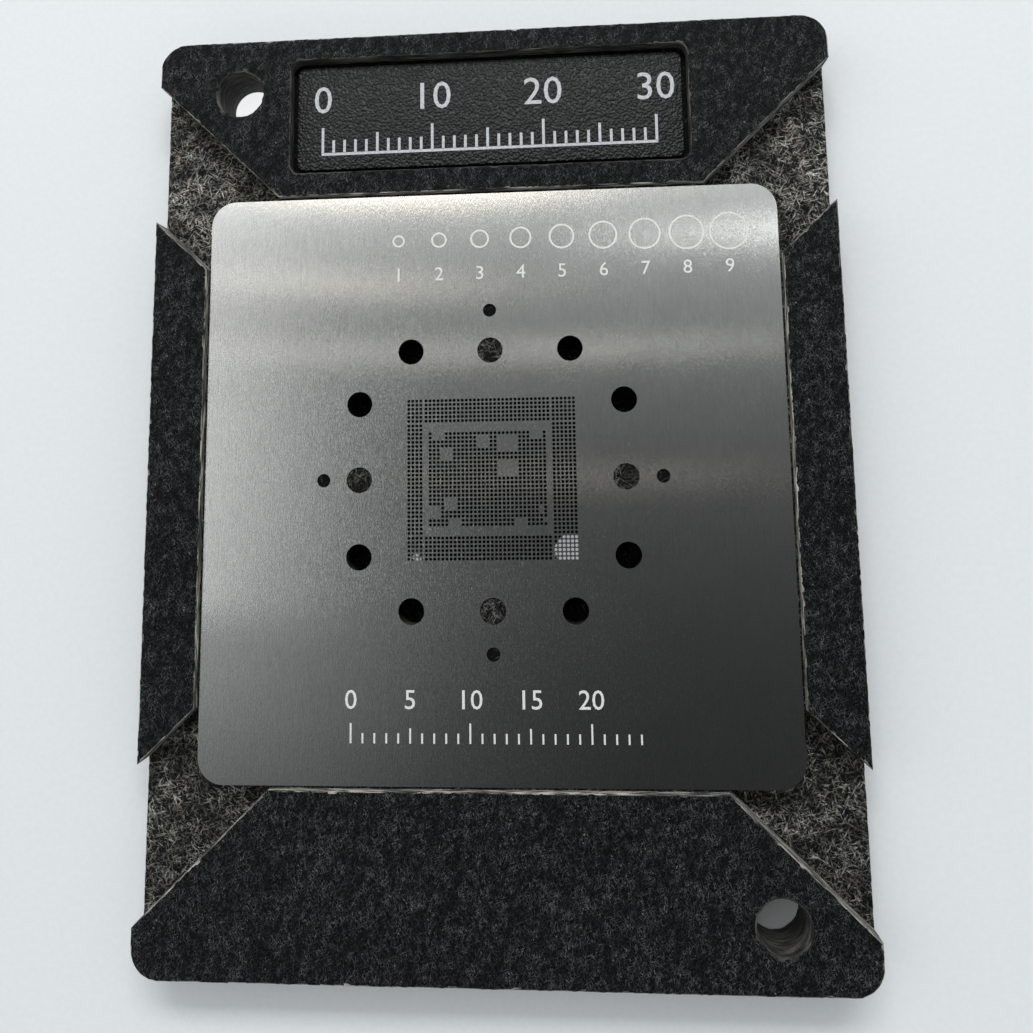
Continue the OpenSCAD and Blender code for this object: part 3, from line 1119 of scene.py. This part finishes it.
def build_sheet_marks(sheet):
    """A gauge of ball sizes at the far edge and a millimetre scale at the near edge."""
    marks = []
    for index in range(GAUGE_RINGS):
        x = (GAUGE_START + GAUGE_STEP * index) * MM
        radius = (GAUGE_RADIUS + GAUGE_GROWTH * index) * MM
        marks.append(ring_mark(radius, GAUGE_LINE * MM, (x, GAUGE_RING_Y * MM), ETCH_HEIGHT))
        marks.append(figure(str(index + 1), GAUGE_FIGURE * MM, (x, GAUGE_FIGURE_Y * MM), ETCH_HEIGHT))
    marks += scale_marks(12, 0.15, (1.6, 1.2, 0.8), -21.6, (5, 2.2, -18.2), (0.0, 0.0), ETCH_HEIGHT)
    return new_piece("sheet_marks", joined("sheet_marks", marks, SHEET_HIGH.z), [etched_steel(sheet)])


class STENCIL_OT_sheet_marks(bpy.types.Operator):
    """Builds the plain etched figures and scales on the sheet"""

    bl_idname = "stencil.sheet_marks"
    bl_label = "Etched marks"

    def execute(self, context):
        piece = build_sheet_marks(context.scene.stencil_sheet)
        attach(piece, "root")
        return {"FINISHED"}


# ---------------------------------------------------------------- film

def pebbled_film(film):
    """Black film with a pebbled face."""
    f = new_finish("pebbled_film")
    size = film.pebble_size
    pebble = f.node("ShaderNodeTexVoronoi", {"feature": "SMOOTH_F1"},
                    {"Vector": f.place((size, size, size)), "Scale": 1.0, "Smoothness": 0.6}, "Distance")
    fine = f.grain((0.4 * size, 0.4 * size, 0.4 * size), 0, 2.0)
    crown = 1 - f.step(pebble, 0.1, 0.8)
    tone = film.film_colour
    return f.surface({
        "Base Color": f.blend(crown, shaded(tone, 0.5), shaded(tone, 1.5)),
        "Specular IOR Level": 0.30,
        "Roughness": 0.36 + 0.16 * fine,
        "Normal": f.bump(0.8 * crown + 0.2 * fine, 0.11 * MM),
    })


def white_ink(film):
    """Slightly grey ink that follows the film's grain."""
    f = new_finish("white_ink")
    size = film.pebble_size
    grain = f.grain((size, size, size), 0, 2.0)
    tone = film.ink_colour
    return f.surface({
        "Base Color": f.blend(f.step(grain, 0.3, 0.7), shaded(tone, 0.75), tone),
        "Roughness": 0.55 + 0.1 * grain,
        "Normal": f.bump(grain, 0.03 * MM),
    })


def build_film(film, plate):
    """The film in its recess, its edge rounded over."""
    plan = Plan(1.0 * MM)
    radius = plate.recess_radius - plate.recess_margin / 2
    middle = (FILM_LOW + FILM_HIGH) / 2
    size = FILM_HIGH - FILM_LOW
    outline = rounded_rectangle(size.x, size.y, radius, 12, (middle.x, middle.y))
    edge = film.edge_round
    for ring in (0.0, 0.12, 0.35, 0.65, 1.0):
        plan.line(inset(outline, ring * edge))
    level = {"top": FILM_HIGH.z, "back": FILM_LOW.z}

    def height_of(region, x, y, rim):
        if region == "top" and rim < edge:
            return level[region] - edge + math.sqrt(edge ** 2 - (edge - rim) ** 2)
        return level[region]

    mesh = raised("film", plan, lambda x, y: ("top", "back"), level, height_of, 0.3 * MM)[0]
    return new_piece("film", mesh, [pebbled_film(film)])


def build_film_scale(film):
    """A white millimetre scale with plain figures."""
    depth = film.print_height
    middle = (FILM_LOW + FILM_HIGH) / 2
    foot_line = bar(30.2 * MM, 0.25 * MM, (middle.x, middle.y - 3.4 * MM), depth)
    marks = [foot_line] + scale_marks(15, 0.24, (2.4, 1.8, 1.2), -3.3, (10, 3.6, 1.6), middle, depth)
    return new_piece("film_scale", joined("film_scale", marks, FILM_HIGH.z), [white_ink(film)])


class STENCIL_OT_film(bpy.types.Operator):
    """Builds the pebbled film and its printed scale"""

    bl_idname = "stencil.film"
    bl_label = "Film"

    def execute(self, context):
        film = context.scene.stencil_film
        piece = build_film(film, context.scene.stencil_plate)
        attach(piece, "root")
        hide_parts("nameplate_film")
        scale = build_film_scale(film)
        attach(scale, "root")
        return {"FINISHED"}


# ---------------------------------------------------------------- magnets

def plated_nickel(magnets):
    """Bright nickel with fine handling marks."""
    f = new_finish("plated_nickel")
    haze = f.grain(mm(0.8, 0.8, 0.8), 0, 4.0)
    rub = f.grain(mm(0.04, 1.2, 1), 35, 2.0)
    tone = magnets.nickel_colour
    return f.surface({
        "Base Color": f.blend(f.step(haze, 0.3, 0.7), shaded(tone, 0.9), tone),
        "Metallic": 1.0,
        "Roughness": 0.16 + 0.18 * haze,
        "Normal": f.bump(rub, 0.002 * MM),
    })


def turned_disc(name, node, edge):
    """A disc with broken edges that fills a magnet node's box."""
    low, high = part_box(node)
    middle = (low + high) / 2
    radius = (high.x - low.x) / 2
    bulge = edge * 0.3
    profile = ((radius - edge, low.z), (radius - bulge, low.z + bulge), (radius, low.z + edge),
               (radius, high.z - edge), (radius - bulge, high.z - bulge), (radius - edge, high.z))
    steps = 64
    vertices = []
    for ring_radius, z in profile:
        vertices += [(x, y, z) for x, y in circle((middle.x, middle.y), ring_radius, steps)]
    last = steps * (len(profile) - 1)
    faces = [tuple(reversed(range(steps))), tuple(range(last, last + steps))]
    for first in range(0, last, steps):
        faces += band(first, first + steps, steps)
    return new_mesh(name, vertices, faces)


class STENCIL_OT_magnets(bpy.types.Operator):
    """Builds the eight disc magnets in the plate's underside"""

    bl_idname = "stencil.magnets"
    bl_label = "Magnets"

    def execute(self, context):
        magnets = context.scene.stencil_magnets
        finish = plated_nickel(magnets)
        for node in MAGNET_NODES:
            piece = new_piece(f"{node}_disc", turned_disc(node, node, magnets.edge_round), [finish])
            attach(piece, "root")
            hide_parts(node)
        return {"FINISHED"}


# ---------------------------------------------------------------- stage

def build_floor(stage):
    """A pale floor with a faint grain."""
    f = new_finish("pale_floor")
    grain = f.grain(mm(0.5, 0.5, 0.5), 0, 3.0)
    tone = stage.floor_colour
    finish = f.surface({
        "Base Color": f.blend(f.step(grain, 0.25, 0.75), shaded(tone, 0.965), tone),
        "Roughness": 0.7,
    })
    half = stage.floor_size / 2
    z = PLATE_LOW.z - 0.02 * MM
    corners = [(half * side_x, half * side_y, z) for side_x, side_y in QUARTERS]
    mesh = new_mesh("floor", corners, [(0, 1, 2, 3)])
    mesh.materials.append(finish)
    return new_object("floor", mesh)


CLEAR = (1.0, 1.0, 1.0)
SOFT = (1.0, 0.98, 0.90)
WARM = (1.0, 0.93, 0.78)

# Soft lamps that face the plate. Each has its name, place, width and length (in metres) and power in watts.
SOFTBOXES = (
    ("far_softbox", (0.02, 0.62, 0.52), 0.6, 0.16, 4.6),
    ("left_softbox", (-0.62, 0.12, 0.55), 0.5, 0.7, 0.8),
)


def add_softbox(name, place, width, length, power, aim=(0, 0, 0), colour=CLEAR):
    """A rectangular light that faces a point."""
    light = bpy.data.lights.new(name, "AREA")
    light.shape = "RECTANGLE"
    light.size = width
    light.size_y = length
    light.energy = power
    light.color = colour
    lamp = new_object(name, light)
    lamp.location = place
    lamp.rotation_mode = "QUATERNION"
    lamp.rotation_quaternion = (Vector(aim) - Vector(place)).to_track_quat("-Z", "Y")


def build_light_pads(plate, sheet):
    """Painted light: small glowing discs on the floor, lit by no lamp, standing in for lit floor that shows
    through the far bore and the chip pocket's near holes.
    """
    f = new_finish("light_pad")
    grain = f.grain(mm(0.5, 0.5, 0.5), 0, 3.0)
    far_tone = f.blend(grain, (0.78, 0.80, 0.80), (0.84, 0.86, 0.87))
    finish = f.surface({
        "Base Color": (0.7, 0.7, 0.7),
        # The near pads glow dimmer than the far one: painted light.
        "Emission Color": f.blend(f.step(f.along("Y"), 0.0, 20 * MM), (0.33, 0.34, 0.35), far_tone),
        "Emission Strength": 1.0,
    })
    push, relief = chip_holes(plate, sheet)[:2]
    small_pad = (relief[0] - 0.25 * MM, relief[1] - 0.62 * MM, 0.42 * MM)
    z = PLATE_LOW.z - 0.01 * MM
    vertices = []
    faces = []
    for x, y, radius in (bore_spots(plate)[0], push, small_pad):
        first = len(vertices)
        vertices += [(px, py, z) for px, py in circle((x, y), radius, 40)]
        faces.append(tuple(range(first, len(vertices))))
    mesh = new_mesh("light_pads", vertices, faces)
    mesh.materials.append(finish)
    return new_object("light_pads", mesh)


# Long thin lamps overhead, whose reflections are the streaks on the steel. Each has its name, left and
# right end, place along Y, width (all in metres), glow and colour.
TUBE_HEIGHT = 1.0
TUBES = (
    ("middle_tube", -0.42, 0.27, 0.148, 0.006, 1.7, SOFT),
    ("left_tube", -0.36, -0.22, 0.243, 0.022, 1.7, WARM),
    ("right_tube", 0.22, 0.50, 0.305, 0.020, 3.2, CLEAR),
    ("far_tube", -0.42, -0.02, 0.385, 0.050, 2.8, WARM),
    ("near_tube", 0.0, 0.10, -0.018, 0.012, 1.1, WARM),
)


def add_tube(name, start, end, along, width, glow, colour):
    """A long lamp that lies across the plate."""
    middle = (start + end) / 2
    power = glow * math.pi * (end - start) * width
    add_softbox(name, (middle, along, TUBE_HEIGHT), end - start, width, power, (middle, along, 0), colour)


# Glow of the studio's ceiling and horizon. A wall's glow grows by its rise with the slope of the heading
# towards it, as far as its most.
CEILING_GLOW = 0.026
HORIZON_GLOW = 0.85
LEFT_WALL = {"glow": 0.028, "rise": -6.8, "most": 0.68}
FAR_WALL = {"glow": 0.112, "rise": 5.8, "most": 0.95}


def wall_glow(finish, wall, slope):
    """Glow of one wall at a heading's slope towards it."""
    return finish.least(wall["glow"] * math.e ** (slope * wall["rise"]), wall["most"])


def build_air():
    """Soft surroundings: a pale far wall, a paler left wall and a dark ceiling for the steel to reflect."""
    world = bpy.data.worlds.new("studio_air")
    bpy.context.scene.world = world
    f = Finish(world)
    x, y, z = [f.along(axis, "Generated") for axis in "XYZ"]
    up = f.most(z, 0.05)
    left = wall_glow(f, LEFT_WALL, x / up) * f.step(y / up, -0.65, -0.05)
    left = left * (1 - 0.30 * f.step(y / up, 0.02, 0.30))
    far = wall_glow(f, FAR_WALL, y / up)
    low = HORIZON_GLOW * (1 - f.step(z, 0.35, 0.88))
    level = CEILING_GLOW + f.most(f.most(left, far), low)
    glow = f.node("ShaderNodeBackground", {}, {"Color": (0.97, 1.0, 1.015), "Strength": level})
    f.node("ShaderNodeOutputWorld", {}, {"Surface": glow})


def place_camera(stage):
    """The camera almost over the plate, seen from slightly near its middle."""
    camera = bpy.data.cameras.new("camera")
    camera.lens = stage.camera_lens
    camera.sensor_width = 36.0
    camera.shift_y = stage.camera_shift
    camera.clip_start = 1 * MM
    camera.clip_end = 20.0
    holder = new_object("camera", camera)
    here = Vector(stage.camera_place)
    ahead = (Vector(stage.camera_aim) - here).normalized()
    side = ahead.cross(Vector((0, 1, 0))).normalized()
    aim = Matrix((side, side.cross(ahead), -ahead)).transposed().to_4x4()
    holder.matrix_world = Matrix.Translation(here) @ aim @ Matrix.Rotation(stage.camera_roll, 4, "Z")
    bpy.context.scene.camera = holder


class STENCIL_OT_stage(bpy.types.Operator):
    """Lays the floor, sets the lights and places the camera"""

    bl_idname = "stencil.stage"
    bl_label = "Stage"

    def execute(self, context):
        stage = context.scene.stencil_stage
        context.scene.view_settings.view_transform = "Standard"
        build_floor(stage)
        build_light_pads(context.scene.stencil_plate, context.scene.stencil_sheet)
        build_air()
        for softbox in SOFTBOXES:
            add_softbox(*softbox)
        for tube in TUBES:
            add_tube(*tube)
        place_camera(stage)
        return {"FINISHED"}


# ---------------------------------------------------------------- add-on

class STENCIL_PT_pieces(bpy.types.Panel):
    """Lists the pieces of the stencil"""

    bl_idname = "STENCIL_PT_pieces"
    bl_label = "Solder paste stencil"
    bl_space_type = "VIEW_3D"
    bl_region_type = "UI"
    bl_category = "Stencil"

    def draw(self, context):
        for operator, name in zip(OPERATORS, PANEL_GROUPS):
            box = self.layout.box()
            box.operator(operator.bl_idname)
            if name:
                for key in SETTINGS[name].__annotations__:
                    box.prop(getattr(context.scene, name), key)


SETTINGS = {
    "stencil_plate": PlateSettings,
    "stencil_sheet": SheetSettings,
    "stencil_film": FilmSettings,
    "stencil_magnets": MagnetSettings,
    "stencil_stage": StageSettings,
}
OPERATORS = (STENCIL_OT_stage, STENCIL_OT_base_plate, STENCIL_OT_sheet, STENCIL_OT_sheet_marks,
             STENCIL_OT_film, STENCIL_OT_magnets)
PANEL_GROUPS = ("stencil_stage", "stencil_plate", "stencil_sheet", None, "stencil_film", "stencil_magnets")


def register():
    """Makes the settings, the operators and the panel known to Blender."""
    for kind in (*SETTINGS.values(), *OPERATORS, STENCIL_PT_pieces):
        bpy.utils.register_class(kind)
    for name, kind in SETTINGS.items():
        setattr(bpy.types.Scene, name, PointerProperty(type=kind))


def unregister():
    """Takes them away again."""
    for name in SETTINGS:
        delattr(bpy.types.Scene, name)
    for kind in reversed((*SETTINGS.values(), *OPERATORS, STENCIL_PT_pieces)):
        bpy.utils.unregister_class(kind)


def main():
    """Builds every piece in order."""
    register()
    for operator in OPERATORS:
        group, name = operator.bl_idname.split(".")
        getattr(getattr(bpy.ops, group), name)()


if __name__ == "__main__":
    main()
